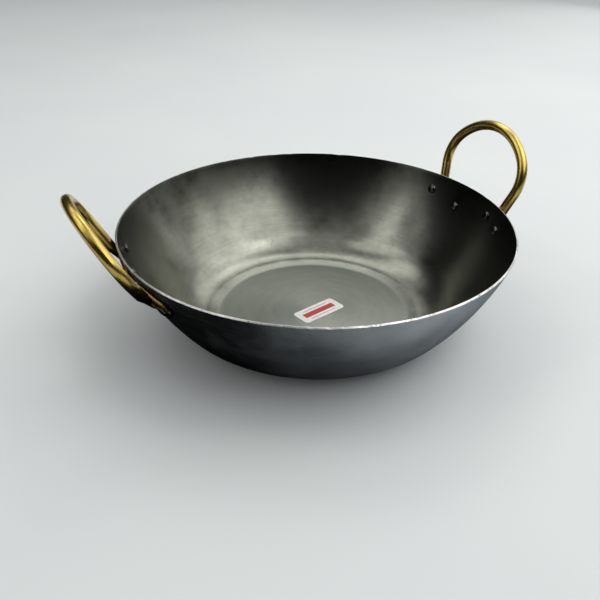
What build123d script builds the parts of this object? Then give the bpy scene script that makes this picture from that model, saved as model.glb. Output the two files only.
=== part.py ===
from build123d import *
import math
import os

# A kadai: a deep round pan pressed from one iron sheet, with a round brass bar handle riveted on each side.
# Lengths are in millimetres and slopes in degrees. The origin is the middle of the base's underside, with
# +Z up, and the handles stand on the X axis.

# Bowl, outer face of the sheet
RIM_RADIUS = 150.0
RIM_HEIGHT = 80.5
SHEET = 1.6
WALL_REACH = 65.5
STEP_WIDTH = 8.5
STEP_RISE = 1.7
STEP_CORNER_RADIUS = 6.0
STEP_CREST_RADIUS = 5.0
WALL_FOOT_ANGLE = 6.0
WALL_BEND_RADIUS = 44.0
WALL_UPPER_RADIUS = 210.0
RIM_BREAK = 0.25

# The wall and the step take their width from the rim inwards, and the flat base has the rest
STEP_RADIUS = RIM_RADIUS - WALL_REACH
BASE_FLAT_RADIUS = STEP_RADIUS - STEP_WIDTH

# Handles, centreline of the bar in the loop's own plane, measured from the anchors where the legs meet the wall
BAR_DIAMETER = 8.0
LEG_SPACING = 72.8
LOOP_WIDTH = 89.4
LOOP_BEND_HEIGHT = 31.2
LOOP_TOP_RISE = 35.3
SIDE_BEND_RADIUS = 28.0
ANCHOR_DEPTH = 12.0
LEG_CLEARANCE = 0.7
RIGHT_LEAN_ANGLE = 18.0
LEFT_LEAN_ANGLE = 30.0
RIGHT_TILT_ANGLE = -1.5
LEFT_TILT_ANGLE = -7.0

# Feet, where the bar is hammered out flat against the wall; depths are below the rim
LEG_ROUND_DEPTH = 7.0
LEG_NECK_DEPTH = 12.5
LEG_NECK_WIDTH = 9.4
LEG_NECK_THICKNESS = 6.6
LEG_TONGUE_DEPTH = 17.0
LEG_TONGUE_WIDTH = 12.0
LEG_TONGUE_THICKNESS = 4.4
LEG_TIP_DEPTH = 20.5
LEG_TIP_WIDTH = 7.0
LEG_TIP_THICKNESS = 1.8
PAD_THICKNESS = 3.0
PAD_MARGIN = 6.5
PAD_EDGE_RADIUS = 0.8
SEAT_GAP = 0.05

# Rivet places: reach is along the wall from the leg, depth is below the rim
SHORT_FOOT_OUTER_REACH = 14.0
SHORT_FOOT_OUTER_DEPTH = 14.6
SHORT_FOOT_INNER_REACH = 7.0
SHORT_FOOT_INNER_DEPTH = 11.2
LONG_FOOT_OUTER_REACH = 5.5
LONG_FOOT_OUTER_DEPTH = 13.0
LONG_FOOT_INNER_REACH = 25.0
LONG_FOOT_INNER_DEPTH = 18.5

# Rivets
SHANK_RADIUS = 2.5
SHANK_CLEARANCE = 0.1
INNER_HEAD_RADIUS = 3.8
INNER_HEAD_EDGE = 0.5
INNER_HEAD_HEIGHT = 2.3
OUTER_HEAD_RADIUS = 4.2
OUTER_HEAD_EDGE = 0.5
OUTER_HEAD_HEIGHT = 1.8
HEAD_SEAT_GAP = 0.08
SPOT_FACE_CLEARANCE = 0.4

# Paper label on the inside of the base
LABEL_LENGTH = 41.0
LABEL_WIDTH = 18.0
LABEL_CORNER_RADIUS = 3.0
LABEL_THICKNESS = 0.2
LABEL_OFFSET_X = 3.0
LABEL_OFFSET_Y = -3.5
LABEL_ANGLE = 14.0

# One overrun serves all cuts
OVERRUN = 20.0


def inward(slope):
    """Unit normal on the hollow side of the sheet, in the (radius, height) plane, where the wall has this slope."""
    return Vector(-math.sin(slope), math.cos(slope))


def wall_arcs():
    """Centres and slopes of the two tangent arcs of the wall's outer face.

    The lower arc starts at the step's crest with the foot slope. The upper arc ends at the rim and touches the
    lower arc from inside, so the triangle of the two centres and the rim point has three known sides.
    """
    foot_slope = math.radians(WALL_FOOT_ANGLE)
    lower_centre = Vector(STEP_RADIUS, STEP_RISE) + inward(foot_slope) * WALL_BEND_RADIUS
    rim = Vector(RIM_RADIUS, RIM_HEIGHT)
    to_lower = lower_centre - rim
    reach = to_lower.length
    between = WALL_UPPER_RADIUS - WALL_BEND_RADIUS
    cosine = (WALL_UPPER_RADIUS**2 + reach**2 - between**2) / (2 * WALL_UPPER_RADIUS * reach)
    direction = math.atan2(to_lower.Y, to_lower.X) % (2 * math.pi) - math.acos(cosine)
    upper_centre = rim + Vector(math.cos(direction), math.sin(direction)) * WALL_UPPER_RADIUS
    joint = upper_centre - lower_centre
    bend_slope = math.atan2(joint.Y, joint.X) - math.pi / 2
    rim_slope = direction - math.pi / 2
    return lower_centre, upper_centre, foot_slope, bend_slope, rim_slope


LOWER_CENTRE, UPPER_CENTRE, FOOT_SLOPE, BEND_SLOPE, RIM_SLOPE = wall_arcs()


def slope_arc(centre, radius, start, end):
    """Arc of the profile about a centre, from one wall slope to another."""
    return CenterArc(centre, radius, math.degrees(start) - 90, math.degrees(end - start))


def wall_at(depth):
    """Radius and slope of the wall's outer face at a depth below the rim."""
    height = RIM_HEIGHT - depth
    slope = math.acos((UPPER_CENTRE.Y - height) / WALL_UPPER_RADIUS)
    return UPPER_CENTRE.X + WALL_UPPER_RADIUS * math.sin(slope), slope


def wall_plane(along, depth, lift):
    """Plane on the wall of a handle that faces +X.

    Its origin lies this far along the wall from the handle's middle and this deep below the rim, lifted off the
    outer face. Its x axis runs round the bowl and its z axis is the wall's outward normal.
    """
    radius, slope = wall_at(depth)
    turn = along / radius
    out = Vector(math.cos(turn), math.sin(turn), 0)
    round_bowl = Vector(-math.sin(turn), math.cos(turn), 0)
    normal = out * math.sin(slope) - Vector(0, 0, math.cos(slope))
    origin = out * radius + Vector(0, 0, RIM_HEIGHT - depth) + normal * lift
    return Plane(origin=origin, x_dir=round_bowl, z_dir=normal)


def sheet_profile():
    """Half section of the bowl's sheet: flat base, shallow step ring, two-arc wall and a square-cut rim."""
    step_slope = math.atan2(STEP_RISE, STEP_WIDTH)
    flat_end = BASE_FLAT_RADIUS + SHEET * math.tan(step_slope / 2)
    step_crest = Vector(STEP_RADIUS, STEP_RISE)
    with BuildSketch(Plane.XZ) as section:
        with BuildLine():
            Line((0, 0), (flat_end, 0))
            Line((flat_end, 0), step_crest)
            slope_arc(LOWER_CENTRE, WALL_BEND_RADIUS, FOOT_SLOPE, BEND_SLOPE)
            outer = slope_arc(UPPER_CENTRE, WALL_UPPER_RADIUS, BEND_SLOPE, RIM_SLOPE)
            inner = slope_arc(UPPER_CENTRE, WALL_UPPER_RADIUS - SHEET, RIM_SLOPE, BEND_SLOPE)
            Line(outer @ 1, inner @ 0)
            low = slope_arc(LOWER_CENTRE, WALL_BEND_RADIUS - SHEET, BEND_SLOPE, FOOT_SLOPE)
            Line(low @ 1, (BASE_FLAT_RADIUS, SHEET))
            Line((BASE_FLAT_RADIUS, SHEET), (0, SHEET))
            Line((0, SHEET), (0, 0))
        make_face()
        corner_radii = (
            (Vector(flat_end, 0), STEP_CORNER_RADIUS + SHEET),
            (Vector(BASE_FLAT_RADIUS, SHEET), STEP_CORNER_RADIUS),
            (step_crest, STEP_CREST_RADIUS),
            (low @ 1, STEP_CREST_RADIUS + SHEET),
            (outer @ 1, RIM_BREAK),
            (inner @ 0, RIM_BREAK),
        )
        for corner, radius in corner_radii:
            fillet(section.vertices().sort_by_distance(corner)[0], radius)
    return section.sketch


def wall_band(inner_lift, outer_lift):
    """Solid ring that follows the upper wall between two distances off its outer face."""
    with BuildSketch(Plane.XZ) as section:
        with BuildLine():
            near = slope_arc(UPPER_CENTRE, WALL_UPPER_RADIUS + inner_lift, BEND_SLOPE, RIM_SLOPE)
            far = slope_arc(UPPER_CENTRE, WALL_UPPER_RADIUS + outer_lift, RIM_SLOPE, BEND_SLOPE)
            Line(near @ 1, far @ 0)
            Line(far @ 1, near @ 0)
        make_face()
    return revolve(section.sketch, Axis.Z)


def wall_plug():
    """Everything within the upper wall's outer face and up to its rim, with the seat gap, to cut handles back."""
    along_wall = Vector(math.cos(RIM_SLOPE), math.sin(RIM_SLOPE)) * SEAT_GAP
    with BuildSketch(Plane.XZ) as section:
        with BuildLine():
            face = slope_arc(UPPER_CENTRE, WALL_UPPER_RADIUS + SEAT_GAP, BEND_SLOPE, RIM_SLOPE)
            outer = (face @ 1) + along_wall
            inner = outer + inward(RIM_SLOPE) * (SHEET + 2 * SEAT_GAP)
            Polyline(face @ 1, outer, inner, (0, inner.Y), (0, (face @ 0).Y), face @ 0)
        make_face()
    return revolve(section.sketch, Axis.Z)


def rivet_places(leg, outer_reach, outer_depth, inner_reach, inner_depth):
    """The two rivets of a foot as (distance along the wall, depth); leg is +1 or -1 for the leg's side."""
    foot = LEG_SPACING / 2
    return [(leg * (foot + outer_reach), outer_depth), (leg * (foot - inner_reach), inner_depth)]


def short_foot(leg):
    """Rivets close on both sides of the leg."""
    return rivet_places(
        leg, SHORT_FOOT_OUTER_REACH, SHORT_FOOT_OUTER_DEPTH, SHORT_FOOT_INNER_REACH, SHORT_FOOT_INNER_DEPTH
    )


def long_foot(leg):
    """One rivet beside the leg, the other further in and lower."""
    return rivet_places(
        leg, LONG_FOOT_OUTER_REACH, LONG_FOOT_OUTER_DEPTH, LONG_FOOT_INNER_REACH, LONG_FOOT_INNER_DEPTH
    )


# Each handle as built on +X: turn about Z, lean outwards, tilt in the loop's plane, rivets of each leg
HANDLES = {
    "right": (0, RIGHT_LEAN_ANGLE, RIGHT_TILT_ANGLE, {1: long_foot(1), -1: short_foot(-1)}),
    "left": (180, LEFT_LEAN_ANGLE, LEFT_TILT_ANGLE, {1: short_foot(1), -1: long_foot(-1)}),
}


def loop_plane(lean, tilt):
    """Plane of a handle's bar: x along the rim, y up the loop, origin midway between the anchors."""
    radius, slope = wall_at(ANCHOR_DEPTH)
    leg_radius = radius + (BAR_DIAMETER / 2 + LEG_CLEARANCE) / math.sin(slope)
    middle = math.sqrt(leg_radius**2 - (LEG_SPACING / 2) ** 2)
    angle = math.radians(lean)
    along = Vector(0, 1, 0)
    up = Vector(math.sin(angle), 0, math.cos(angle))
    turned = along * math.cos(math.radians(tilt)) + up * math.sin(math.radians(tilt))
    return Plane(origin=(middle, 0, RIM_HEIGHT - ANCHOR_DEPTH), x_dir=turned, z_dir=along.cross(up))


def loop_outline():
    """Named points and radii of the loop in its plane: where the leg meets the side bend, and the bends."""
    bend_x = LOOP_WIDTH / 2 - SIDE_BEND_RADIUS
    top_radius = (bend_x**2 + LOOP_TOP_RISE**2 - SIDE_BEND_RADIUS**2) / (2 * (LOOP_TOP_RISE - SIDE_BEND_RADIUS))
    top_angle = math.atan2(bend_x, top_radius - LOOP_TOP_RISE)
    to_anchor = Vector(LEG_SPACING / 2 - bend_x, -LOOP_BEND_HEIGHT)
    leg_angle = math.atan2(to_anchor.Y, to_anchor.X) + math.acos(SIDE_BEND_RADIUS / to_anchor.length)
    touch = Vector(
        bend_x + SIDE_BEND_RADIUS * math.cos(leg_angle),
        LOOP_BEND_HEIGHT + SIDE_BEND_RADIUS * math.sin(leg_angle),
    )
    return bend_x, top_radius, top_angle, leg_angle, touch


def leg_end(plane, leg, touch):
    """Point on the straight leg, in the loop's plane, where the bar stops being round."""
    anchor = Vector(LEG_SPACING / 2, 0)
    low = plane.from_local_coords(Vector(leg * anchor.X, anchor.Y))
    high = plane.from_local_coords(Vector(leg * touch.X, touch.Y))
    share = (RIM_HEIGHT - LEG_ROUND_DEPTH - low.Z) / (high.Z - low.Z)
    point = anchor + (touch - anchor) * share
    return Vector(leg * point.X, point.Y)


def bent_bar(plane):
    """Round bar along the loop: two straight legs, two side bends and a wider top bend."""
    bend_x, top_radius, top_angle, leg_angle, touch = loop_outline()
    side_sweep = 90 - math.degrees(top_angle + leg_angle)
    top_sweep = 2 * math.degrees(top_angle)
    with BuildLine() as path:
        Line(leg_end(plane, 1, touch), touch)
        CenterArc((bend_x, LOOP_BEND_HEIGHT), SIDE_BEND_RADIUS, math.degrees(leg_angle), side_sweep)
        top_centre = (0, LOOP_BEND_HEIGHT + LOOP_TOP_RISE - top_radius)
        CenterArc(top_centre, top_radius, 90 - top_sweep / 2, top_sweep)
        CenterArc((-bend_x, LOOP_BEND_HEIGHT), SIDE_BEND_RADIUS, 90 + top_sweep / 2, side_sweep)
        Line(Vector(-touch.X, touch.Y), leg_end(plane, -1, touch))
    wire = plane * path.wires()[0]
    start = Plane(origin=wire @ 0, z_dir=wire % 0)
    return sweep(start * Circle(BAR_DIAMETER / 2), path=wire)


def flattened_leg(plane, leg):
    """The leg's end, drawn from the round bar through an oval neck to a thin tongue against the wall."""
    touch = loop_outline()[-1]
    end = plane.from_local_coords(leg_end(plane, leg, touch))
    high = plane.from_local_coords(Vector(leg * touch.X, touch.Y))
    down = (end - high).normalized()
    round_bowl = wall_plane(leg * LEG_SPACING / 2, LEG_ROUND_DEPTH, 0).x_dir
    across = (round_bowl - down * round_bowl.dot(down)).normalized()
    sections = [Plane(origin=end, x_dir=across, z_dir=down) * Circle(BAR_DIAMETER / 2)]
    ovals = (
        (LEG_NECK_DEPTH, LEG_NECK_WIDTH, LEG_NECK_THICKNESS),
        (LEG_TONGUE_DEPTH, LEG_TONGUE_WIDTH, LEG_TONGUE_THICKNESS),
        (LEG_TIP_DEPTH, LEG_TIP_WIDTH, LEG_TIP_THICKNESS),
    )
    for depth, width, thickness in ovals:
        seat = wall_plane(leg * LEG_SPACING / 2, depth, SEAT_GAP + thickness / 2)
        face = Plane(origin=seat.origin, x_dir=seat.x_dir, z_dir=-seat.y_dir)
        sections.append(face * Ellipse(width / 2, thickness / 2))
    return loft(sections)


def foot_pad(band, rivets):
    """Flat pad on the wall round a foot's two rivets, cut from the band that follows the wall."""
    (along_a, depth_a), (along_b, depth_b) = rivets
    middle = wall_plane((along_a + along_b) / 2, (depth_a + depth_b) / 2, 0)
    start, end = (middle.to_local_coords(wall_plane(*rivet, 0).origin) for rivet in rivets)
    line = Line(Vector(start.X, start.Y), Vector(end.X, end.Y))
    outline = middle * SlotCenterPoint(line @ 0.5, line @ 1, 2 * PAD_MARGIN)
    pad = extrude(outline, OVERRUN, both=True) & band
    outer_face = pad.faces().sort_by_distance(middle.origin + middle.z_dir * OVERRUN)[0]
    return fillet(outer_face.edges(), PAD_EDGE_RADIUS)


def handle(lean, tilt, feet, band, plug):
    """One brass handle on +X: the bent bar with its two hammered feet, drilled and faced for the rivets."""
    plane = loop_plane(lean, tilt)
    body = bent_bar(plane)
    for leg, rivets in feet.items():
        body += flattened_leg(plane, leg) + foot_pad(band, rivets)
    body -= plug
    pad_face = SEAT_GAP + PAD_THICKNESS
    for rivets in feet.values():
        for along, depth in rivets:
            hole = wall_plane(along, depth, 0) * Cylinder(SHANK_RADIUS + SHANK_CLEARANCE, OVERRUN)
            seat = wall_plane(along, depth, pad_face) * Cylinder(
                OUTER_HEAD_RADIUS + SPOT_FACE_CLEARANCE, OVERRUN, align=(Align.CENTER, Align.CENTER, Align.MIN)
            )
            body = body - hole - seat
    return body


def rivet(along, depth):
    """One iron rivet on +X: domed head inside the bowl, shank through wall and foot, flatter head outside."""
    inside = -SHEET - HEAD_SEAT_GAP
    outside = SEAT_GAP + PAD_THICKNESS + HEAD_SEAT_GAP
    with BuildSketch(Plane.XZ) as section:
        with BuildLine():
            dome_foot = Vector(INNER_HEAD_RADIUS, inside - INNER_HEAD_EDGE)
            dome_top = Vector(0, inside - INNER_HEAD_HEIGHT)
            cap_foot = Vector(OUTER_HEAD_RADIUS, outside + OUTER_HEAD_EDGE)
            cap_top = Vector(0, outside + OUTER_HEAD_HEIGHT)
            TangentArc(dome_top, dome_foot, tangent=(1, 0))
            Polyline(
                dome_foot,
                (INNER_HEAD_RADIUS, inside),
                (SHANK_RADIUS, inside),
                (SHANK_RADIUS, outside),
                (OUTER_HEAD_RADIUS, outside),
                cap_foot,
            )
            TangentArc(cap_top, cap_foot, tangent=(1, 0))
            Line(cap_top, dome_top)
        make_face()
    return wall_plane(along, depth, 0) * revolve(section.sketch, Axis.Z)


def bowl():
    """The pressed iron bowl with its eight rivet holes."""
    body = revolve(sheet_profile(), Axis.Z)
    for turn, lean, tilt, feet in HANDLES.values():
        for rivets in feet.values():
            for along, depth in rivets:
                hole = wall_plane(along, depth, 0) * Cylinder(SHANK_RADIUS + SHANK_CLEARANCE, OVERRUN)
                body -= Rot(0, 0, turn) * hole
    return body


def label():
    """Small rounded paper label stuck flat on the inside of the base."""
    outline = RectangleRounded(LABEL_LENGTH, LABEL_WIDTH, LABEL_CORNER_RADIUS)
    place = Pos(LABEL_OFFSET_X, LABEL_OFFSET_Y, SHEET) * Rot(0, 0, LABEL_ANGLE)
    return extrude(place * outline, LABEL_THICKNESS)


def build():
    """All pieces by node name."""
    pieces = {"bowl": bowl(), "label": label()}
    band = wall_band(SEAT_GAP, SEAT_GAP + PAD_THICKNESS)
    plug = wall_plug()
    for side, (turn, lean, tilt, feet) in HANDLES.items():
        pieces[f"handle_{side}"] = Rot(0, 0, turn) * handle(lean, tilt, feet, band, plug)
        places = [place for rivets in feet.values() for place in rivets]
        for number, (along, depth) in enumerate(places, start=1):
            pieces[f"rivet_{side}_{number}"] = Rot(0, 0, turn) * rivet(along, depth)
    return pieces


os.makedirs("parts", exist_ok=True)
for name, piece in build().items():
    piece.label = name
    export_step(piece, os.path.join("parts", f"{name}.step"))
    print(name, round(piece.volume, 1))
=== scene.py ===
import math

import bpy
import numpy as np
from mathutils import Matrix, Vector


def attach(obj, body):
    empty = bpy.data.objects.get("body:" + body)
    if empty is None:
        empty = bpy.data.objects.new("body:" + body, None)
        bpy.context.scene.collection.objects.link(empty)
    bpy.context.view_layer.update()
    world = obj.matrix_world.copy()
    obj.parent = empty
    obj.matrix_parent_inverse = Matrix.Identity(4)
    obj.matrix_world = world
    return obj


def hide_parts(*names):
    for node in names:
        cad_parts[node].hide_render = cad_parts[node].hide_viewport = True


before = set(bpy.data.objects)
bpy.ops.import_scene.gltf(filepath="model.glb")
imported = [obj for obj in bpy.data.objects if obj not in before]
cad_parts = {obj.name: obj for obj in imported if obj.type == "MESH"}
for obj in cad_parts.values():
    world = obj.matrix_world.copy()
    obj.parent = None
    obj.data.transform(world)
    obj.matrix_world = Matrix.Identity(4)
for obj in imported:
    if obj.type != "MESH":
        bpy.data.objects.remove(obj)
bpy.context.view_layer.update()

# The picture: the pan is seen from in front and to the left, looking down at 31 degrees, through a lens of
# normal length. Sizes in this file are real millimetres, and MM turns them into Blender's metres.
MM = 0.001
CAMERA_PLACE = (-240.1, -450.0, 316.7)
CAMERA_TURN = -26.8
CAMERA_DOWN = 31.012
CAMERA_ROLL = 0.902
CAMERA_LENS = 43.97

scene = bpy.context.scene
scene.view_settings.view_transform = "Standard"
camera_data = bpy.data.cameras.new("camera")
camera_data.lens = CAMERA_LENS
camera = bpy.data.objects.new("camera", camera_data)
scene.collection.objects.link(camera)
camera.matrix_world = (
    Matrix.Translation(Vector(CAMERA_PLACE) * MM)
    @ Matrix.Rotation(math.radians(CAMERA_TURN), 4, "Z")
    @ Matrix.Rotation(math.radians(90 - CAMERA_DOWN), 4, "X")
    @ Matrix.Rotation(math.radians(CAMERA_ROLL), 4, "Z")
)
scene.camera = camera


# The bowl: one round iron sheet, pressed and spun over a former. A shallow step rings its flat base, the wall
# rises in two arcs, and the rim is cut square, which leaves small nicks.
RIM_RADIUS = 150.0
RIM_HEIGHT = 80.5
SHEET = 1.6
BASE_RADIUS = 76.0
STEP_RADIUS = 84.5
STEP_RISE = 1.7
FOOT_SLOPE = math.radians(6.0)
BEND_RADIUS = 44.0
UPPER_RADIUS = 210.0
RIM_BREAK = 0.25
COLUMNS = 480
STEP_SOFTNESS = 2.4
STEP_MARGINS = (2.0, 3.0)

# Hand work: slow waves of the wall, faint tool rings on the base, and nicks in the cut edge, in millimetres
WAVE_LOBES = range(2, 19)
WAVE_DEPTH = 0.16
WAVE_FADE = 25.0
WAVE_LEAN = 0.09
WAVE_FALLOFF = 0.8
RING_SPACING = 8.5
RING_DEPTH = 0.012
RING_MARGIN, RING_FADE = 4.0, 6.0
NICK_COUNT = 46
NICK_DEPTHS = (0.05, 0.3)
NICK_WIDTHS = (1.0, 3.0)

# Nicks given one by one, six along the front of the rim and one at the left: degrees, depth and half width
FRONT_NICKS = (
    (-121.0, 0.35, 1.6),
    (-118.5, 0.25, 1.2),
    (-114.0, 0.45, 2.0),
    (-110.5, 0.2, 1.5),
    (-106.0, 0.4, 1.4),
    (-103.0, 0.3, 2.2),
    (-172.0, 0.5, 1.8),
)


def hollow_side(slope):
    """Unit vector to the hollow side of a sheet with this slope: minus sine outwards and cosine up."""
    return np.array([-math.sin(slope), math.cos(slope)])


def wall_arcs():
    """Centre of the upper arc, and slopes where the arcs meet and at the rim.

    The two centres and the rim point make a triangle with three known sides, as the arcs touch from inside.
    """
    lower = np.array([STEP_RADIUS, STEP_RISE]) + hollow_side(FOOT_SLOPE) * BEND_RADIUS
    rim = np.array([RIM_RADIUS, RIM_HEIGHT])
    reach = np.hypot(*(lower - rim))
    between = UPPER_RADIUS - BEND_RADIUS
    cosine = (UPPER_RADIUS**2 + reach**2 - between**2) / (2 * UPPER_RADIUS * reach)
    direction = math.atan2(lower[1] - rim[1], lower[0] - rim[0]) % (2 * math.pi) - math.acos(cosine)
    upper = rim + np.array([math.cos(direction), math.sin(direction)]) * UPPER_RADIUS
    joint = upper - lower
    return lower, upper, math.atan2(joint[1], joint[0]) - math.pi / 2, direction - math.pi / 2


LOWER_CENTRE, UPPER_CENTRE, BEND_SLOPE, RIM_SLOPE = wall_arcs()


def sheet_face(lift, spacing):
    """One face of the sheet from the middle of the base to the rim, as (radius, height) rows.

    The flat, the step and the two arcs are joined, evened out over the step's softness, and sampled at the
    spacing given for the base, the step and the wall.
    """
    fine = 0.1
    turn = np.arange(FOOT_SLOPE, BEND_SLOPE, fine / BEND_RADIUS)
    rise = np.append(np.arange(BEND_SLOPE, RIM_SLOPE, fine / UPPER_RADIUS), RIM_SLOPE)
    low = LOWER_CENTRE + np.stack([np.sin(turn), -np.cos(turn)], 1) * (BEND_RADIUS - lift)
    high = UPPER_CENTRE + np.stack([np.sin(rise), -np.cos(rise)], 1) * (UPPER_RADIUS - lift)
    flat = np.arange(0, BASE_RADIUS, fine)
    flat = np.stack([flat, np.full_like(flat, lift)], 1)
    share = np.arange(0, 1, fine / (STEP_RADIUS - BASE_RADIUS))[:, None]
    step = flat[-1] + (low[0] - flat[-1]) * share
    line = np.concatenate([flat, step, low, high])
    width = int(STEP_SOFTNESS / fine)
    kernel = np.hanning(2 * width + 3)[1:-1]
    kernel /= kernel.sum()
    padded = np.pad(line, ((width, width), (0, 0)), mode="reflect", reflect_type="odd")
    line = np.stack([np.convolve(padded[:, axis], kernel, "valid") for axis in (0, 1)], 1)
    run = np.concatenate([[0], np.cumsum(np.hypot(*np.diff(line, axis=0).T))])
    base, ring, wall = spacing
    near_step = (BASE_RADIUS - STEP_MARGINS[0], STEP_RADIUS + STEP_MARGINS[1])
    stops = np.interp(near_step, line[:, 0], run)
    parts = [
        np.linspace(0, stops[0], round(stops[0] / base), endpoint=False),
        np.linspace(stops[0], stops[1], round((stops[1] - stops[0]) / ring), endpoint=False),
        np.linspace(stops[1], run[-1] - RIM_BREAK, round((run[-1] - stops[1]) / wall)),
    ]
    run_at = np.concatenate(parts)
    return np.stack([np.interp(run_at, run, line[:, axis]) for axis in (0, 1)], 1)


def cut_edge():
    """The rim's cut edge from the inner face to the outer one, both corners rounded by the edge break."""
    along = np.array([math.cos(RIM_SLOPE), math.sin(RIM_SLOPE)])
    across = hollow_side(RIM_SLOPE)
    outer = np.array([RIM_RADIUS, RIM_HEIGHT])
    inner = outer + across * SHEET
    share = np.array([0.25, 0.5, 0.75, 1.0])[:, None]
    rounded = [
        corner - along * RIM_BREAK * (1 - share) ** 2 + away * RIM_BREAK * share**2
        for corner, away in ((inner, -across), (outer, across))
    ]
    return np.concatenate([rounded[0], [(inner + outer) / 2], rounded[1][::-1]])


def closed_skin(name, rings):
    """Closed mesh over rings of points, rows by columns: each ring joins the next, and the first and the last
    ring shrink to one point each. The faces are turned outwards by the sign of the enclosed volume."""
    rows, columns = rings.shape[:2]
    middle = np.arange((rows - 2) * columns).reshape(rows - 2, columns) + 1
    after = np.roll(middle, -1, axis=1)
    last = middle.size + 1
    points = np.concatenate([rings[:1].mean(1), rings[1:-1].reshape(-1, 3), rings[-1:].mean(1)])
    quads = np.stack([middle[:-1], middle[1:], after[1:], after[:-1]], -1).reshape(-1, 4)
    start = np.stack([np.zeros(columns, int), middle[0], after[0]], -1)
    end = np.stack([np.full(columns, last), after[-1], middle[-1]], -1)
    corners = points[np.concatenate([quads[:, [0, 1, 2]], quads[:, [0, 2, 3]], start, end])]
    volume = np.einsum("ij,ij->i", corners[:, 0], np.cross(corners[:, 1], corners[:, 2])).sum()
    faces = [part[:, ::-1] if volume < 0 else part for part in (quads, start, end)]
    mesh = bpy.data.meshes.new(name)
    mesh.from_pydata((points * MM).tolist(), [], [face for part in faces for face in part.tolist()])
    mesh.shade_smooth()
    piece = bpy.data.objects.new(name, mesh)
    scene.collection.objects.link(piece)
    return piece


def spun_rings(profile, edge_rows):
    """The profile turned round Z, with the unevenness of hand work, always towards the inside.

    The wall waves by a sum of slow cosines in the angle and the height, the base keeps faint rings from the
    spinning tool, and the cut edge dips in short nicks.
    """
    angle = np.linspace(0, 2 * math.pi, COLUMNS, endpoint=False)
    radius, height = profile[:, :1], profile[:, 1:]
    slope = np.gradient(profile, axis=0)
    normal = np.stack([-slope[:, 1], slope[:, 0]], 1) / np.hypot(slope[:, 0], slope[:, 1])[:, None]
    inner_side = np.where(np.arange(len(profile)) < edge_rows[0] + len(edge_rows) / 2, 1.0, -1.0)[:, None]
    draw = np.random.default_rng(7)
    wave = np.zeros((len(profile), COLUMNS))
    for lobes in WAVE_LOBES:
        shift, lean = draw.uniform(0, 2 * math.pi, 2)
        wave += np.cos(lobes * angle + shift + height * (WAVE_LEAN * math.sin(lean))) / lobes**WAVE_FALLOFF
    wave /= np.abs(wave).max()
    press = WAVE_DEPTH * (1 + wave) * np.clip((radius - STEP_RADIUS) / WAVE_FADE, 0, 1)
    inside_base = np.clip((BASE_RADIUS - RING_MARGIN - radius) / RING_FADE, 0, 1)
    rings = RING_DEPTH * (1 - np.cos(2 * math.pi * radius / RING_SPACING)) * inside_base
    press = press + rings * (inner_side > 0)
    scattered = zip(
        draw.uniform(0, 2 * math.pi, NICK_COUNT),
        draw.uniform(*NICK_DEPTHS, NICK_COUNT),
        draw.uniform(*NICK_WIDTHS, NICK_COUNT),
    )
    placed = [(math.radians(place), depth, width) for place, depth, width in FRONT_NICKS]
    nick = np.zeros(COLUMNS)
    for place, depth, width in [*scattered, *placed]:
        away = (angle - place + math.pi) % (2 * math.pi) - math.pi
        nick += depth * np.exp(-((away * RIM_RADIUS / width) ** 2))
    cut = np.zeros((len(profile), 1))
    cut[edge_rows] = 1.0
    new_radius = radius + normal[:, :1] * press * inner_side - cut * nick * math.cos(RIM_SLOPE)
    new_height = height + normal[:, 1:] * press * inner_side - cut * nick * math.sin(RIM_SLOPE)
    return np.stack([new_radius * np.cos(angle), new_radius * np.sin(angle), new_height], -1)


inside = sheet_face(SHEET, (2.6, 0.5, 2.0))
outside = sheet_face(0.0, (5.0, 1.2, 2.6))[::-1]
edge = cut_edge()
profile = np.concatenate([inside, edge, outside])
edge_rows = np.arange(len(inside) - 1, len(inside) + len(edge) + 1)
bowl = closed_skin("bowl_spun", spun_rings(profile, edge_rows))
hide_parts("bowl")
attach(bowl, "root")


def linear(code):
    """Linear colour with alpha from an sRGB hex code: each channel through the sRGB curve."""
    channels = [int(code[start : start + 2], 16) / 255 for start in (1, 3, 5)]
    return [c / 12.92 if c <= 0.04045 else ((c + 0.055) / 1.055) ** 2.4 for c in channels] + [1.0]


def node(tree, kind, sockets=None, **settings):
    """Adds a node, sets its properties, and fills its sockets with values or links from other sockets."""
    made = tree.nodes.new(kind)
    for name, value in settings.items():
        setattr(made, name, value)
    for name, value in (sockets or {}).items():
        if isinstance(value, bpy.types.NodeSocket):
            tree.links.new(value, made.inputs[name])
        else:
            made.inputs[name].default_value = value
    return made


def finish(name):
    """A new material and its node tree, with a Principled shader already wired to the output."""
    made = bpy.data.materials.new(name)
    made.use_nodes = True
    return made, made.node_tree, made.node_tree.nodes["Principled BSDF"]


def blend(tree, share, first, second, **settings):
    """Colour between two colours or colour sockets."""
    made = node(tree, "ShaderNodeMix", {0: share, 6: first, 7: second}, data_type="RGBA", **settings)
    return made.outputs[2]


def ramp(tree, source, low, high, to_low=0.0, to_high=1.0):
    """Number from one range to another, kept inside the second."""
    sockets = {"Value": source, "From Min": low, "From Max": high, "To Min": to_low, "To Max": to_high}
    return node(tree, "ShaderNodeMapRange", sockets).outputs["Result"]


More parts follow.
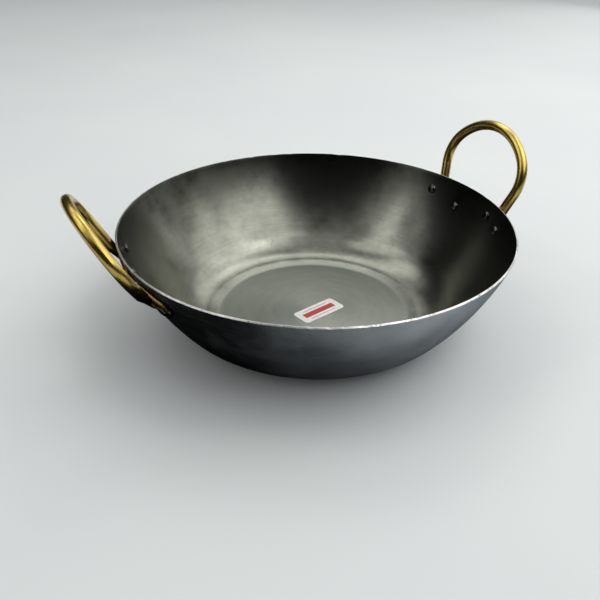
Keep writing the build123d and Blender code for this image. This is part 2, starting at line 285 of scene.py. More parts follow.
def round_the_bowl(tree, across, streak):
    """Coordinates that run round the bowl: direction from the Z axis times the streak count, and the distance
    along the sheet, taken as radius plus height, times the lines per metre."""
    place = node(tree, "ShaderNodeTexCoord").outputs["Object"]
    flat = node(tree, "ShaderNodeVectorMath", {0: place, 1: (1, 1, 0)}, operation="MULTIPLY").outputs[0]
    radius = node(tree, "ShaderNodeVectorMath", {0: flat}, operation="LENGTH").outputs["Value"]
    heading = node(tree, "ShaderNodeVectorMath", {0: flat}, operation="NORMALIZE").outputs[0]
    height = node(tree, "ShaderNodeSeparateXYZ", {0: place}).outputs["Z"]
    run = node(tree, "ShaderNodeMath", {0: radius, 1: height}, operation="ADD").outputs[0]
    lines = node(tree, "ShaderNodeMath", {0: run, 1: across}, operation="MULTIPLY").outputs[0]
    stack = node(tree, "ShaderNodeCombineXYZ", {"Z": lines}).outputs[0]
    sockets = {0: heading, 1: (streak, streak, 0), 2: stack}
    return node(tree, "ShaderNodeVectorMath", sockets, operation="MULTIPLY_ADD").outputs[0]


def noise(tree, place, scale=1.0, detail=3.0, roughness=0.5):
    """Noise value at a place."""
    sockets = {"Vector": place, "Scale": scale, "Detail": detail, "Roughness": roughness}
    return node(tree, "ShaderNodeTexNoise", sockets).outputs["Fac"]


# Spun low-carbon iron, scoured and oiled: grey with an olive cast, and fine lines round the bowl that pull
# reflections out up the wall. The base is matt from use, and higher up dark patches of baked-on oil carry
# painted shade as well, darkening the wall towards the rim.
# The real lines are a few tenths of a millimetre apart, and are drawn as coarse as they need to show.
LINE_SPACING = 0.9
LINE_STREAK = 5.0
TOOL_SPACING = 5.0
TOOL_STREAK = 2.0
OIL_AND_SHADE_FROM, OIL_AND_SHADE_TO = 98.0, 140.0
OIL_AND_SHADE_RAGGED = 110.0
BASE_ROUGHNESS = 0.38
iron, tree, shader = finish("spun_iron_scoured")
place = node(tree, "ShaderNodeTexCoord").outputs["Object"]
fine_lines = noise(tree, round_the_bowl(tree, 1 / (LINE_SPACING * MM), LINE_STREAK), detail=2.0)
tool_marks = noise(tree, round_the_bowl(tree, 1 / (TOOL_SPACING * MM), TOOL_STREAK), detail=3.0)
clouds = noise(tree, place, scale=1 / (30 * MM), detail=7.0, roughness=0.66)
flecks = noise(tree, place, scale=1 / (7 * MM), detail=5.0, roughness=0.7)
flat = node(tree, "ShaderNodeVectorMath", {0: place, 1: (1, 1, 0)}, operation="MULTIPLY").outputs[0]
radius = node(tree, "ShaderNodeVectorMath", {0: flat}, operation="LENGTH").outputs["Value"]
height = node(tree, "ShaderNodeSeparateXYZ", {0: place}).outputs["Z"]
on_base = ramp(tree, radius, 82 * MM, 75 * MM)
colour = blend(tree, ramp(tree, clouds, 0.34, 0.66), linear("#74756b"), linear("#939489"))
colour = blend(tree, on_base, colour, linear("#8f9289"))
colour = blend(tree, ramp(tree, tool_marks, 0.3, 0.7, 0.0, 0.2), colour, linear("#63655e"))
colour = blend(tree, ramp(tree, fine_lines, 0.35, 0.7, 0.0, 0.16), colour, linear("#a6a79c"))
# Dark patches rising towards the rim: baked-on oil, and painted shade on the upper wall
blotches = node(tree, "ShaderNodeMath", {0: clouds, 1: OIL_AND_SHADE_RAGGED * MM}, operation="MULTIPLY").outputs[0]
oil_and_shade = node(tree, "ShaderNodeMath", {0: height, 1: blotches}, operation="ADD").outputs[0]
colour = blend(tree, ramp(tree, oil_and_shade, OIL_AND_SHADE_FROM * MM, OIL_AND_SHADE_TO * MM, 0.0, 0.9), colour, linear("#343531"))
colour = blend(tree, ramp(tree, flecks, 0.66, 0.74, 0.0, 0.6), colour, linear("#2f302b"))
tree.links.new(colour, shader.inputs["Base Color"])
wall_gloss = ramp(tree, clouds, 0.3, 0.7, 0.2, 0.27)
gloss = node(tree, "ShaderNodeMix", {0: on_base, 2: wall_gloss, 3: BASE_ROUGHNESS}).outputs[0]
tree.links.new(gloss, shader.inputs["Roughness"])
shader.inputs["Metallic"].default_value = 1.0
shader.inputs["Anisotropic"].default_value = 0.4
shader.inputs["Anisotropic Rotation"].default_value = 0.25
tangent = node(tree, "ShaderNodeTangent", direction_type="RADIAL", axis="Z").outputs[0]
tree.links.new(tangent, shader.inputs["Tangent"])
bump = node(tree, "ShaderNodeBump", {"Strength": 0.06, "Distance": 0.05 * MM, "Height": fine_lines})
tree.links.new(bump.outputs[0], shader.inputs["Normal"])

# The same iron outside, under a thin heat scale that dulls its shine: blue-grey with cloudy darker patches.
# Across it runs painted shade and light: nearly black on one side, pale blue-grey on the other. One side is
# painted nearly black as heat stain, which is a guess: in the photograph it may be light alone.
# Painted shade: the direction the outside pales towards, and where its dark and pale ends lie
PAINTED_LIGHT_SIDE = (0.86, -0.5, 0.0)
PAINTED_SHADE_TO, PAINTED_LIGHT_FROM = -45.0, 95.0
outer_iron_painted_shade, tree, shader = finish("spun_iron_scale_painted_shade")
place = node(tree, "ShaderNodeTexCoord").outputs["Object"]
fine_lines = noise(tree, round_the_bowl(tree, 1 / (LINE_SPACING * MM), LINE_STREAK), detail=2.0)
clouds = noise(tree, place, scale=1 / (34 * MM), detail=7.0, roughness=0.64)
# Painted shade across the outside: nearly black on one side, pale on the other, with cloudy patches
side = node(tree, "ShaderNodeVectorMath", {0: place, 1: PAINTED_LIGHT_SIDE}, operation="DOT_PRODUCT").outputs["Value"]
sockets = {0: ramp(tree, side, PAINTED_SHADE_TO * MM, PAINTED_LIGHT_FROM * MM), 1: ramp(tree, clouds, 0.3, 0.7, -0.15, 0.15)}
painted_shade_and_patches = node(tree, "ShaderNodeMath", sockets, operation="ADD").outputs[0]
colour = blend(tree, painted_shade_and_patches, linear("#111213"), linear("#a9b0b6"), clamp_factor=True)
colour = blend(tree, ramp(tree, fine_lines, 0.4, 0.75, 0.0, 0.15), colour, linear("#a4a9ad"))
tree.links.new(colour, shader.inputs["Base Color"])
tree.links.new(ramp(tree, clouds, 0.3, 0.7, 0.38, 0.48), shader.inputs["Roughness"])
shader.inputs["Metallic"].default_value = 0.7
bump = node(tree, "ShaderNodeBump", {"Strength": 0.08, "Distance": 0.05 * MM, "Height": fine_lines})
tree.links.new(bump.outputs[0], shader.inputs["Normal"])

# Sheared iron on the cut edge: bare and bright, with short dark scores across it where the shears bit.
cut_iron, tree, shader = finish("iron_sheared_edge")
place = node(tree, "ShaderNodeTexCoord").outputs["Object"]
scores = noise(tree, place, scale=1 / (1.6 * MM), detail=3.0)
clouds = noise(tree, place, scale=1 / (22 * MM), detail=3.0)
colour = blend(tree, ramp(tree, clouds, 0.35, 0.65), linear("#b9b6b2"), linear("#dedbd6"))
colour = blend(tree, ramp(tree, scores, 0.58, 0.72, 0.0, 0.8), colour, linear("#4b4a48"))
tree.links.new(colour, shader.inputs["Base Color"])
tree.links.new(ramp(tree, scores, 0.4, 0.6, 0.32, 0.5), shader.inputs["Roughness"])
shader.inputs["Metallic"].default_value = 1.0
bump = node(tree, "ShaderNodeBump", {"Strength": 0.3, "Distance": 0.1 * MM, "Height": scores})
tree.links.new(bump.outputs[0], shader.inputs["Normal"])

# The cut iron goes on the faces at the top that look out past the rim, the scoured iron on what looks up
EDGE_ZONE = 1.5
EDGE_FACING = 0.6
for material in (iron, cut_iron, outer_iron_painted_shade):
    bowl.data.materials.append(material)
centres = np.zeros(len(bowl.data.polygons) * 3)
bowl.data.polygons.foreach_get("center", centres)
normals = np.zeros_like(centres)
bowl.data.polygons.foreach_get("normal", normals)
centres = centres.reshape(-1, 3) / MM
normals = normals.reshape(-1, 3)
rim_out = np.array([math.cos(RIM_SLOPE), math.sin(RIM_SLOPE)])
radial = (centres[:, :2] * normals[:, :2]).sum(1) / np.maximum(np.hypot(*centres[:, :2].T), 1e-6)
faces_up = radial * rim_out[0] + normals[:, 2] * rim_out[1]
on_edge = (centres[:, 2] > RIM_HEIGHT - EDGE_ZONE) & (faces_up > EDGE_FACING)
hollow_face = normals[:, 2] > 0
which = np.where(on_edge, 1, np.where(hollow_face, 0, 2)).astype(np.int32)
bowl.data.polygons.foreach_set("material_index", which)


# The handles: round brass bar bent into a loop, its two ends hammered out flat into feet that lie on the
# outside of the wall. The left one has been bent further out and a little askew.
BAR_RADIUS = 4.0
LEG_SPACING = 72.8
LOOP_WIDTH = 89.4
LOOP_BEND_HEIGHT = 31.2
LOOP_TOP_RISE = 35.3
SIDE_BEND_RADIUS = 28.0
ANCHOR_DEPTH = 12.0
LEG_CLEARANCE = 0.7
LEG_ROUND_DEPTH = 7.0
LEG_OVALS = ((12.5, 9.4, 6.6), (17.0, 12.0, 4.4), (20.5, 7.0, 1.8))
SEAT_GAP = 0.05
PAD_THICKNESS = 3.0
PAD_MARGIN = 6.5
PAD_EDGE_RADIUS = 0.8
HAMMER_DEPTH = 0.12
HAMMER_ALONG, HAMMER_SHIFT = 0.9, 1.3
HAMMER_DOWN, HAMMER_SKEW = 1.1, 0.3
BAR_SIDES = 40
PAD_SIDES = 96
PAD_TOP_ROWS, PAD_EDGE_ROWS = 10, 5
SLOT_STEEPNESS = 4
STRAIGHT_ROWS, SIDE_ROWS, TOP_ROWS, FOOT_ROWS = 14, 60, 24, 40

# Turn, lean and tilt in degrees, then each leg's outer and inner rivet: reach from the leg, depth below rim
HANDLES = {
    "right": (0.0, 18.0, -1.5, {1: ((5.5, 13.0), (25.0, 18.5)), -1: ((14.0, 14.6), (7.0, 11.2))}),
    "left": (180.0, 30.0, -7.0, {1: ((14.0, 14.6), (7.0, 11.2)), -1: ((5.5, 13.0), (25.0, 18.5))}),
}


def on_wall(along, depth, lift):
    """Points off the wall's outer face of a handle that faces +X, with the directions round the bowl, up the
    wall and away from it. Along is the arc length from the handle's middle, depth is below the rim."""
    along, depth, lift = np.broadcast_arrays(*(np.asarray(value, float) for value in (along, depth, lift)))
    slope = np.arccos((UPPER_CENTRE[1] - RIM_HEIGHT + depth) / UPPER_RADIUS)
    radius = UPPER_CENTRE[0] + UPPER_RADIUS * np.sin(slope)
    turn = along / radius
    nothing = np.zeros_like(turn)
    out = np.stack([np.cos(turn), np.sin(turn), nothing], -1)
    round_bowl = np.stack([-np.sin(turn), np.cos(turn), nothing], -1)
    away = out * np.sin(slope)[..., None]
    away[..., 2] = -np.cos(slope)
    up = np.cross(away, round_bowl)
    point = out * radius[..., None] + away * lift[..., None]
    point[..., 2] += RIM_HEIGHT - depth
    return point, round_bowl, up, away


def rivet_places(feet):
    """The four rivets of a handle as (along, depth), in the order of their nodes."""
    return [
        (leg * (LEG_SPACING / 2 + sign * reach), depth)
        for leg, foot in feet.items()
        for sign, (reach, depth) in zip((1, -1), foot)
    ]


def turned(points, degrees):
    """Points turned round Z."""
    angle = math.radians(degrees)
    cosine, sine = math.cos(angle), math.sin(angle)
    return points @ np.array([[cosine, sine, 0], [-sine, cosine, 0], [0, 0, 1]])


def smooth_rows(stations, share):
    """Rows between stations on a Catmull-Rom curve: each cubic takes its slopes from the neighbours."""
    knots = np.pad(stations, ((1, 1), (0, 0)), mode="reflect", reflect_type="odd")
    start = np.minimum(share.astype(int), len(stations) - 2)
    t = (share - start)[:, None]
    a, b, c, d = (knots[start + step] for step in range(4))
    return 0.5 * (2 * b + (c - a) * t + (2 * a - 5 * b + 4 * c - d) * t**2 + (3 * b - a - 3 * c + d) * t**3)


def loop_frame(lean, tilt):
    """Origin and two axes of the loop's plane, as in the solid: along the rim, and up the leaning loop."""
    point, _, _, away = on_wall(0.0, ANCHOR_DEPTH, 0.0)
    leg_radius = point[0] + (BAR_RADIUS + LEG_CLEARANCE) / away[0]
    middle = math.sqrt(leg_radius**2 - (LEG_SPACING / 2) ** 2)
    lean, tilt = math.radians(lean), math.radians(tilt)
    along, up = np.array([0.0, 1.0, 0.0]), np.array([math.sin(lean), 0.0, math.cos(lean)])
    x_axis = along * math.cos(tilt) + up * math.sin(tilt)
    normal = np.cross(along, up)
    return np.array([middle, 0.0, RIM_HEIGHT - ANCHOR_DEPTH]), x_axis, np.cross(normal, x_axis), normal


def loop_line(origin, x_axis, y_axis):
    """Centreline of the bent bar in its plane, from one leg's end to the other: straight leg, side bend, top
    bend, side bend, straight leg, each sampled by its length."""
    bend_x = LOOP_WIDTH / 2 - SIDE_BEND_RADIUS
    across = bend_x**2 + LOOP_TOP_RISE**2 - SIDE_BEND_RADIUS**2
    top_radius = across / (2 * (LOOP_TOP_RISE - SIDE_BEND_RADIUS))
    top_angle = math.atan2(bend_x, top_radius - LOOP_TOP_RISE)
    to_anchor = np.array([LEG_SPACING / 2 - bend_x, -LOOP_BEND_HEIGHT])
    leg_angle = math.atan2(to_anchor[1], to_anchor[0]) + math.acos(SIDE_BEND_RADIUS / np.hypot(*to_anchor))
    bend = np.linspace(leg_angle, math.pi / 2 - top_angle, SIDE_ROWS)
    side = np.array([bend_x, LOOP_BEND_HEIGHT]) + SIDE_BEND_RADIUS * np.stack([np.cos(bend), np.sin(bend)], 1)
    top = np.linspace(math.pi / 2 - top_angle, math.pi / 2, TOP_ROWS)[1:]
    top = np.array([0, LOOP_BEND_HEIGHT + LOOP_TOP_RISE - top_radius]) + top_radius * np.stack(
        [np.cos(top), np.sin(top)], 1
    )
    ends = []
    for leg in (1, -1):
        low, high = (origin + x_axis * leg * x + y_axis * y for x, y in ((LEG_SPACING / 2, 0.0), side[0]))
        share = (RIM_HEIGHT - LEG_ROUND_DEPTH - low[2]) / (high[2] - low[2])
        end = np.array([LEG_SPACING / 2, 0.0]) * (1 - share) + side[0] * share
        ends.append(end + (side[0] - end) * np.linspace(0, 1, STRAIGHT_ROWS, endpoint=False)[:, None])
    half = np.concatenate([side, top])
    right = np.concatenate([ends[0], half])
    left = np.concatenate([ends[1], half])[::-1] * (-1, 1)
    return np.concatenate([right, left[1:]])


def bar_rows(lean, tilt):
    """Middle, half width and half thickness of the bar's section, row by row from foot tip to foot tip.

    The loop keeps a round section. Each leg passes through its ovals to a thin tip on a smooth curve.
    """
    origin, x_axis, y_axis, normal = loop_frame(lean, tilt)
    flat = loop_line(origin, x_axis, y_axis)
    middle = origin + flat[:, :1] * x_axis + flat[:, 1:] * y_axis
    heading = np.gradient(middle, axis=0)
    heading /= np.linalg.norm(heading, axis=1)[:, None]
    width = np.cross(normal, heading) * BAR_RADIUS
    thick = np.broadcast_to(normal * BAR_RADIUS, middle.shape)
    loop = np.concatenate([middle, width, thick], 1)
    legs = []
    for leg, row in ((1, 0), (-1, -1)):
        stations = [loop[row]]
        for depth, wide, deep in LEG_OVALS:
            point, round_bowl, _, away = on_wall(leg * LEG_SPACING / 2, depth, SEAT_GAP + deep / 2)
            stations.append(np.concatenate([point, -leg * round_bowl * wide / 2, away * deep / 2]))
        share = np.linspace(0, len(stations) - 1, FOOT_ROWS)[1:]
        legs.append(smooth_rows(np.array(stations), share))
    return np.concatenate([legs[0][::-1], loop, legs[1]])


def bar_skin(rows, sides):
    """Rings of the bar: middle plus cosine times half width plus sine times half thickness, shrinking to a
    point past each tip."""
    turn = np.linspace(0, 2 * math.pi, sides, endpoint=False)[:, None]
    middle, width, thick = rows[:, None, :3], rows[:, None, 3:6], rows[:, None, 6:]
    rings = middle + width * np.cos(turn) + thick * np.sin(turn)
    caps = [np.repeat(rings[end].mean(0)[None, None], sides, 1) for end in (0, -1)]
    return np.concatenate([caps[0], rings, caps[1]])


def pad_skin(first, second):
    """Rings of a foot's pad: the outline is a slot round both rivets, and the rings go from the middle of
    its top over the rounded edge, down its side and back under it. Hammering leaves the top faintly uneven,
    by the product of two slow sines in the distance along and down the wall."""
    (along_a, depth_a), (along_b, depth_b) = first, second
    centre = np.array([(along_a + along_b) / 2, (depth_a + depth_b) / 2])
    slope = math.acos((UPPER_CENTRE[1] - RIM_HEIGHT + centre[1]) / UPPER_RADIUS)
    axis = np.array([along_b - along_a, (depth_a - depth_b) / math.sin(slope)]) / 2
    length = np.hypot(*axis)
    axis /= length
    turn = np.linspace(0, 2 * math.pi, PAD_SIDES, endpoint=False)
    base = length * np.clip(np.cos(turn) * SLOT_STEEPNESS, -1, 1)
    swing = np.stack([np.cos(turn), np.sin(turn)], 1)
    corner = np.linspace(0, math.pi / 2, PAD_EDGE_ROWS + 1)[1:]
    top = PAD_THICKNESS - PAD_EDGE_RADIUS
    flat_reach = PAD_MARGIN - PAD_EDGE_RADIUS
    across_top = np.linspace(0, 1, PAD_TOP_ROWS)
    reach = np.concatenate([across_top * flat_reach, flat_reach + PAD_EDGE_RADIUS * np.sin(corner)])
    lift = np.concatenate([np.full(PAD_TOP_ROWS, PAD_THICKNESS), top + PAD_EDGE_RADIUS * np.cos(corner)])
    share = np.concatenate([across_top, np.ones(PAD_EDGE_ROWS)])
    reach = np.concatenate([reach, [PAD_MARGIN] * 2, [PAD_MARGIN * 0.5, 0]])
    lift = np.concatenate([lift, [top / 2, 0], [0, 0]])
    share = np.concatenate([share, [1, 1], [0.5, 0]])
    x = base * share[:, None] + reach[:, None] * swing[:, 0]
    y = reach[:, None] * swing[:, 1]
    along = centre[0] + x * axis[0] - y * axis[1]
    depth = centre[1] - (x * axis[1] + y * axis[0]) * math.sin(slope)
    first_wave = np.sin(along * HAMMER_ALONG + HAMMER_SHIFT)
    hammered = HAMMER_DEPTH * first_wave * np.sin(depth * HAMMER_DOWN + along * HAMMER_SKEW)
    lift = np.where(lift[:, None] > top, lift[:, None] - np.abs(hammered), lift[:, None])
    return on_wall(along, depth, SEAT_GAP + lift)[0]


def grain(rows, sides):
    """Unrolled coordinates for each point of a bar's skin: length along the bar, then a circle across it, so
    that streaks follow the bends and close round the bar."""
    run = np.concatenate([[0], np.cumsum(np.linalg.norm(np.diff(rows[:, :3], axis=0), axis=1))])
    turn = np.linspace(0, 2 * math.pi, sides, endpoint=False)
    across = BAR_RADIUS * np.stack([np.cos(turn), np.sin(turn)], 1)
    table = np.concatenate(
        [np.repeat(run[:, None, None], sides, 1), np.repeat(across[None], len(run), 0)], -1
    ).reshape(-1, 3)
    ends = np.array([[run[0], 0, 0]]), np.array([[run[-1], 0, 0]])
    return np.concatenate([ends[0], table, ends[1]])


def joined(name, pieces):
    """One object from several closed skins, kept as separate shells in one mesh."""
    with bpy.context.temp_override(active_object=pieces[0], selected_editable_objects=pieces):
        bpy.ops.object.join()
    pieces[0].name = name
    return pieces[0]


# Brass bar, drawn, bent and hand-polished, then left to tarnish: golden where it was rubbed, brown-olive in
# streaks along the bar, with small dark stains and a redder tone low down. Painted shade darkens the
# undersides, and the feet are painted nearly black as shade.
brass, tree, shader = finish("brass_bar_worn")
follow = node(tree, "ShaderNodeAttribute", attribute_name="bar_grain").outputs["Vector"]
place = node(tree, "ShaderNodeTexCoord").outputs["Object"]
long_way = node(tree, "ShaderNodeVectorMath", {0: follow, 1: (0.12, 1, 1)}, operation="MULTIPLY").outputs[0]
streaks = noise(tree, long_way, scale=1 / (1.8 * MM), detail=4.0, roughness=0.55)
clouds = noise(tree, place, scale=1 / (11 * MM), detail=5.0, roughness=0.6)
stains = noise(tree, place, scale=1 / (5 * MM), detail=3.0, roughness=0.6)
# Painted shade: faces that turn downwards darken to brown
normal = node(tree, "ShaderNodeNewGeometry").outputs["Normal"]
facing = node(tree, "ShaderNodeSeparateXYZ", {0: normal}).outputs["Z"]
underside_shade = ramp(tree, facing, 0.25, -0.7)
height = node(tree, "ShaderNodeSeparateXYZ", {0: place}).outputs["Z"]
low_down = ramp(tree, height, 92 * MM, 76 * MM)
# Painted shade: below the rim the brass goes nearly black on the feet
painted_foot_shade = ramp(tree, height, 79 * MM, 68 * MM, 0.0, 0.72)
colour = blend(tree, ramp(tree, clouds, 0.35, 0.65), linear("#c8ac55"), linear("#dfc36a"))
colour = blend(tree, ramp(tree, streaks, 0.45, 0.7, 0.0, 0.6), colour, linear("#8c7240"))
colour = blend(tree, ramp(tree, low_down, 0.0, 1.0, 0.0, 0.55), colour, linear("#8a6240"))
colour = blend(tree, ramp(tree, underside_shade, 0.0, 1.0, 0.0, 0.8), colour, linear("#4a4030"))
colour = blend(tree, ramp(tree, stains, 0.66, 0.74, 0.0, 0.85), colour, linear("#33291a"))
colour = blend(tree, painted_foot_shade, colour, linear("#2b2219"))
tree.links.new(colour, shader.inputs["Base Color"])
tree.links.new(ramp(tree, streaks, 0.3, 0.7, 0.2, 0.32), shader.inputs["Roughness"])
shader.inputs["Metallic"].default_value = 1.0
bump = node(tree, "ShaderNodeBump", {"Strength": 0.15, "Distance": 0.08 * MM, "Height": streaks})
tree.links.new(bump.outputs[0], shader.inputs["Normal"])

for side, (turn, lean, tilt, feet) in HANDLES.items():
    rows = bar_rows(lean, tilt)
    bar = closed_skin(f"handle_{side}_bar", turned(bar_skin(rows, BAR_SIDES), turn))
    attribute = bar.data.attributes.new("bar_grain", "FLOAT_VECTOR", "POINT")
    attribute.data.foreach_set("vector", (grain(rows, BAR_SIDES) * MM).ravel())
    places = rivet_places(feet)
    pads = []
    for number in (0, 2):
        pad = closed_skin(f"handle_{side}_pad", turned(pad_skin(places[number], places[number + 1]), turn))
        attribute = pad.data.attributes.new("bar_grain", "FLOAT_VECTOR", "POINT")
        coords = np.zeros(len(pad.data.vertices) * 3, np.float32)
        pad.data.vertices.foreach_get("co", coords)
        attribute.data.foreach_set("vector", coords)
        pads.append(pad)
    loop = joined(f"brass_handle_{side}", [bar, *pads])
    loop.data.materials.clear()
    loop.data.materials.append(brass)
    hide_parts(f"handle_{side}")
    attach(loop, "root")


# The rivets: soft iron, two in each foot, set cold. Their domed heads are inside the bowl, and their tails
# are hammered to flatter heads on the feet.
SHANK_RADIUS = 2.5
INNER_HEAD = (3.8, 0.5, 2.3)
OUTER_HEAD = (4.2, 0.5, 1.8)
HEAD_SEAT_GAP = 0.08
RIVET_SIDES = 48
DOME_ROWS = 14
BEAT_SHARES = (0.03, 0.02)
BEAT_LOBES = (3, 5)


def head_line(radius, edge, height):
    """Section of a head from top to rim: a low dome, an ellipse quarter by angle, over a short edge."""
    angle = np.linspace(0, math.pi / 2, DOME_ROWS)
    dome = np.stack([radius * np.sin(angle), edge + (height - edge) * np.cos(angle)], 1)
    return np.concatenate([dome, [[radius, 0.0]]])


def rivet_skin(along, depth, turn):
    """Rings of a rivet: inner head, shank and outer head turned about the wall's normal at its place. The
    hammer leaves it a little out of round, by two squared sines in the angle."""
    inner = head_line(*INNER_HEAD) * (1, -1) - (0, SHEET + HEAD_SEAT_GAP)
    outer = head_line(*OUTER_HEAD) + (0, SEAT_GAP + PAD_THICKNESS + HEAD_SEAT_GAP)
    shank = np.array([[SHANK_RADIUS, inner[-1, 1]], [SHANK_RADIUS, outer[-1, 1]]])
    line = np.concatenate([inner, shank, outer[::-1]])
    point, round_bowl, up, away = on_wall(along, depth, 0.0)
    angle = np.linspace(0, 2 * math.pi, RIVET_SIDES, endpoint=False)[:, None]
    ring = round_bowl * np.cos(angle) + up * np.sin(angle)
    beat = 1.0
    for share, lobes, shift in zip(BEAT_SHARES, BEAT_LOBES, (along, depth)):
        beat = beat - share * np.sin(lobes * angle + shift) ** 2
    return turned(point + line[:, None, :1] * ring * beat + line[:, None, 1:] * away, turn)


# Mild-steel rivet, oiled dark: cloudy, from nearly black to a rubbed lighter grey.
rivet_iron, tree, shader = finish("rivet_steel_oiled")
place = node(tree, "ShaderNodeTexCoord").outputs["Object"]
clouds = noise(tree, place, scale=1 / (2.4 * MM), detail=4.0)
colour = blend(tree, ramp(tree, clouds, 0.35, 0.65), linear("#343432"), linear("#6c6c69"))
tree.links.new(colour, shader.inputs["Base Color"])
tree.links.new(ramp(tree, clouds, 0.3, 0.7, 0.16, 0.3), shader.inputs["Roughness"])
shader.inputs["Metallic"].default_value = 1.0
bump = node(tree, "ShaderNodeBump", {"Strength": 0.25, "Distance": 0.1 * MM, "Height": clouds})
tree.links.new(bump.outputs[0], shader.inputs["Normal"])

for side, (turn, _, _, feet) in HANDLES.items():
    for number, (along, depth) in enumerate(rivet_places(feet), start=1):
        rivet = closed_skin(f"rivet_domed_{side}_{number}", rivet_skin(along, depth, turn))
        rivet.data.materials.append(rivet_iron)
        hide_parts(f"rivet_{side}_{number}")
        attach(rivet, "root")


# The label: a small gummed paper sticker on the inside of the base. Its name and text are left out: it has a
# plain red bar between two thin grey lines.
LABEL_PLACE = (3.0, -3.5, 0.0)
LABEL_TURN = math.radians(14.0)
BAR_HALF = (15.5, 2.9)
LINE_HALF = (12.5, 0.28)
LINE_AT = 5.6

# Coated paper, printed: clean white with a soft sheen, faintly cloudy, and flat ink.
paper, tree, shader = finish("paper_coated_print")
place = node(tree, "ShaderNodeTexCoord").outputs["Object"]
sockets = {"Vector": place, "Location": Vector(LABEL_PLACE) * MM, "Rotation": (0, 0, LABEL_TURN)}
flat = node(tree, "ShaderNodeMapping", sockets, vector_type="TEXTURE").outputs[0]
split = node(tree, "ShaderNodeSeparateXYZ", {0: flat})
across, up = (
    node(tree, "ShaderNodeMath", {0: split.outputs[axis]}, operation="ABSOLUTE").outputs[0] for axis in "XY"
)
off_line = node(tree, "ShaderNodeMath", {0: up, 1: LINE_AT * MM}, operation="SUBTRACT").outputs[0]
off_line = node(tree, "ShaderNodeMath", {0: off_line}, operation="ABSOLUTE").outputs[0]


def inked(first, first_limit, second, second_limit):
    """One where both distances are under their limits, and zero elsewhere."""
    tests = [
        node(tree, "ShaderNodeMath", {0: value, 1: limit * MM}, operation="LESS_THAN").outputs[0]
        for value, limit in ((first, first_limit), (second, second_limit))
    ]
    return node(tree, "ShaderNodeMath", {0: tests[0], 1: tests[1]}, operation="MULTIPLY").outputs[0]


clouds = noise(tree, place, scale=1 / (9 * MM), detail=4.0)
colour = blend(tree, ramp(tree, clouds, 0.35, 0.65), linear("#dedcd6"), linear("#eceae5"))
colour = blend(tree, inked(across, BAR_HALF[0], up, BAR_HALF[1]), colour, linear("#b5322c"))
colour = blend(tree, inked(across, LINE_HALF[0], off_line, LINE_HALF[1]), colour, linear("#77756f"))
tree.links.new(colour, shader.inputs["Base Color"])
shader.inputs["Roughness"].default_value = 0.5
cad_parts["label"].data.materials.clear()
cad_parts["label"].data.materials.append(paper)


# The studio: a plain pale table that runs on out of sight, soft boxes on both sides, and a pale room.
FLOOR_HALF = 9000.0
table_grid = np.array([[-1, -1, 0], [1, -1, 0], [1, 1, 0], [-1, 1, 0]]) * FLOOR_HALF * MM
floor_mesh = bpy.data.meshes.new("floor")
floor_mesh.from_pydata(table_grid.tolist(), [], [(0, 1, 2, 3)])
floor = bpy.data.objects.new("floor", floor_mesh)
scene.collection.objects.link(floor)

# Matt painted board, pale grey.
board, tree, shader = finish("board_matt_pale")
place = node(tree, "ShaderNodeTexCoord").outputs["Object"]
clouds = noise(tree, place, scale=1 / (300 * MM), detail=2.0)
colour = blend(tree, ramp(tree, clouds, 0.3, 0.7), linear("#dfe2e2"), linear("#e4e7e6"))
tree.links.new(colour, shader.inputs["Base Color"])
shader.inputs["Roughness"].default_value = 0.8
floor_mesh.materials.append(board)


def toward(azimuth, elevation):
    """Unit vector from its angle round Z and its angle above the table."""
    a, e = math.radians(azimuth), math.radians(elevation)
    return Vector((math.cos(a) * math.cos(e), math.sin(a) * math.cos(e), math.sin(e)))


def soft_box(name, azimuth, elevation, wide, tall, radiance):
    """Rectangular lamp that faces the pan, sized by the angles that it fills. Its power is pi times area
    times radiance."""
    lamp = bpy.data.lights.new(name, "AREA")
    lamp.shape = "RECTANGLE"
    lamp.size = 2 * LAMP_DISTANCE * math.tan(math.radians(wide / 2))
    lamp.size_y = 2 * LAMP_DISTANCE * math.tan(math.radians(tall / 2))
    lamp.energy = math.pi * lamp.size * lamp.size_y * radiance
    made = bpy.data.objects.new(name, lamp)
    scene.collection.objects.link(made)
    made.matrix_world = Matrix.Translation(toward(azimuth, elevation) * LAMP_DISTANCE) @ (
        toward(azimuth, elevation).to_track_quat("Z", "Y").to_matrix().to_4x4()
    )


# Name, azimuth, elevation, width and height in degrees, radiance
LAMP_DISTANCE = 1.6
BOXES = (
    ("box_front_right", -58.0, 52.0, 38.0, 38.0, 1.35),
    ("box_right", -12.0, 48.0, 34.0, 44.0, 1.35),
    ("box_back_right", 38.0, 47.0, 40.0, 28.0, 1.15),
    ("box_back", 80.0, 54.0, 50.0, 16.0, 1.35),
    ("box_left", 150.0, 60.0, 20.0, 32.0, 1.3),
    ("box_left_strip", 174.0, 46.0, 10.0, 30.0, 1.3),
    ("box_low_right", 22.0, 14.0, 36.0, 22.0, 0.7),
    ("box_high", -18.0, 71.0, 24.0, 16.0, 1.3),
)
for box in BOXES:
    soft_box(*box)

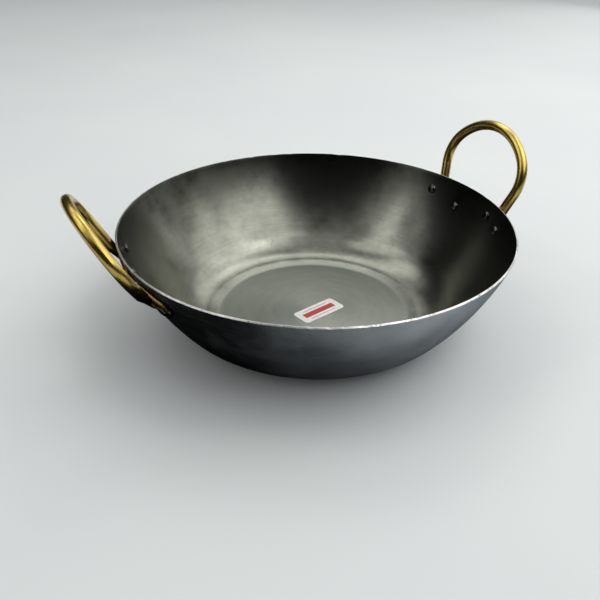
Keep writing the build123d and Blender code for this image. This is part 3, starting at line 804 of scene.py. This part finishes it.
# Black cards keep the room's light out of the metal on the camera's side and on the far left, and under the
# overhang of the wall. Only gloss sees them. Each is a strip of a sphere round the pan, given by stations of
# azimuth, lowest and highest elevation in degrees, and the last is a flat mat with a round hole for the base.
CARD_RADIUS = 1.2
CARDS = {
    "card_camera": (
        (-178, 0, 18), (-165, 0, 38), (-150, 0, 54), (-112, 0, 58), (-93, 0, 52),
        (-87, 0, 32), (-66, 0, 29), (-45, 0, 22), (-25, 0, 14), (-5, 0, 6),
    ),
    "card_left": (
        (68, 33, 42), (73, 20, 44), (80, 0, 44), (96, 0, 46), (116, 0, 45),
        (134, 0, 37), (148, 0, 30), (158, 0, 26), (172, 0, 20), (184, 0, 18),
    ),
}
CARD_GRID = (60, 20)
MAT_HALF = (253.0, 154.0)
MAT_MIDDLE = (8.0, 9.0)
MAT_HOLE = 82.0
MAT_LIFT = 0.4
MAT_GRID = (121, 8)


def sheet_mesh(name, grid):
    """Open sheet over a grid of points, rows by columns, with a quad between each four neighbours."""
    index = np.arange(grid[..., 0].size).reshape(grid.shape[:2])
    faces = np.stack([index[:-1, :-1], index[:-1, 1:], index[1:, 1:], index[1:, :-1]], -1).reshape(-1, 4)
    mesh = bpy.data.meshes.new(name)
    mesh.from_pydata(grid.reshape(-1, 3).tolist(), [], faces.tolist())
    return mesh


def sphere_card(stations):
    """Grid of a card: elevation runs from the lowest to the highest, both interpolated over the azimuth."""
    azimuth, low, high = np.array(stations, float).T
    a = np.linspace(azimuth[0], azimuth[-1], CARD_GRID[0])
    e = np.linspace(np.interp(a, azimuth, low), np.interp(a, azimuth, high), CARD_GRID[1])
    a, e = np.radians(np.broadcast_to(a, e.shape)), np.radians(e)
    return CARD_RADIUS * np.stack([np.cos(a) * np.cos(e), np.sin(a) * np.cos(e), np.sin(e)], -1)


def mat_ring():
    """Grid of the mat: each ray from the middle runs from the hole to the nearest side of the rectangle."""
    turn = np.linspace(0, 2 * math.pi, MAT_GRID[0])
    ray = np.stack([np.cos(turn), np.sin(turn)], -1)
    reach = np.min(
        (np.array(MAT_HALF) + np.array(MAT_MIDDLE) * np.sign(ray)) / np.maximum(np.abs(ray), 1e-9), axis=-1
    )
    out = np.linspace(np.full_like(reach, MAT_HOLE), reach, MAT_GRID[1])[..., None]
    return np.concatenate([out * ray, np.full_like(out, MAT_LIFT)], -1) * MM


grids = {name: sphere_card(stations) for name, stations in CARDS.items()}
grids["card_mat"] = mat_ring()
cards = []
for name, grid in grids.items():
    card = bpy.data.objects.new(name, sheet_mesh(name, grid))
    scene.collection.objects.link(card)
    card.visible_camera = False
    card.visible_diffuse = False
    card.visible_shadow = False
    card.visible_transmission = False
    cards.append(card)

# Black felt: takes up nearly all light.
felt, tree, shader = finish("felt_black")
place = node(tree, "ShaderNodeTexCoord").outputs["Object"]
fibres = noise(tree, place, scale=1 / (4 * MM), detail=2.0)
colour = blend(tree, fibres, linear("#0b0b0b"), linear("#121212"))
tree.links.new(colour, shader.inputs["Base Color"])
shader.inputs["Roughness"].default_value = 0.95
for card in cards:
    card.data.materials.append(felt)

# The room: pale where the camera or gloss sees it, and a little lower as light.
ROOM_SEEN = 0.52
ROOM_LIGHT = 0.42
world = bpy.data.worlds.new("room")
world.use_nodes = True
scene.world = world
tree = world.node_tree
rays = node(tree, "ShaderNodeLightPath")
seen = rays.outputs["Is Camera Ray"]
for kind in ("Is Glossy Ray", "Is Transmission Ray"):
    seen = node(tree, "ShaderNodeMath", {0: seen, 1: rays.outputs[kind]}, operation="ADD").outputs[0]
strength = ramp(tree, seen, 0.0, 1.0, ROOM_LIGHT, ROOM_SEEN)
background = tree.nodes["Background"]
background.inputs["Color"].default_value = linear("#f6fafa")
tree.links.new(strength, background.inputs["Strength"])
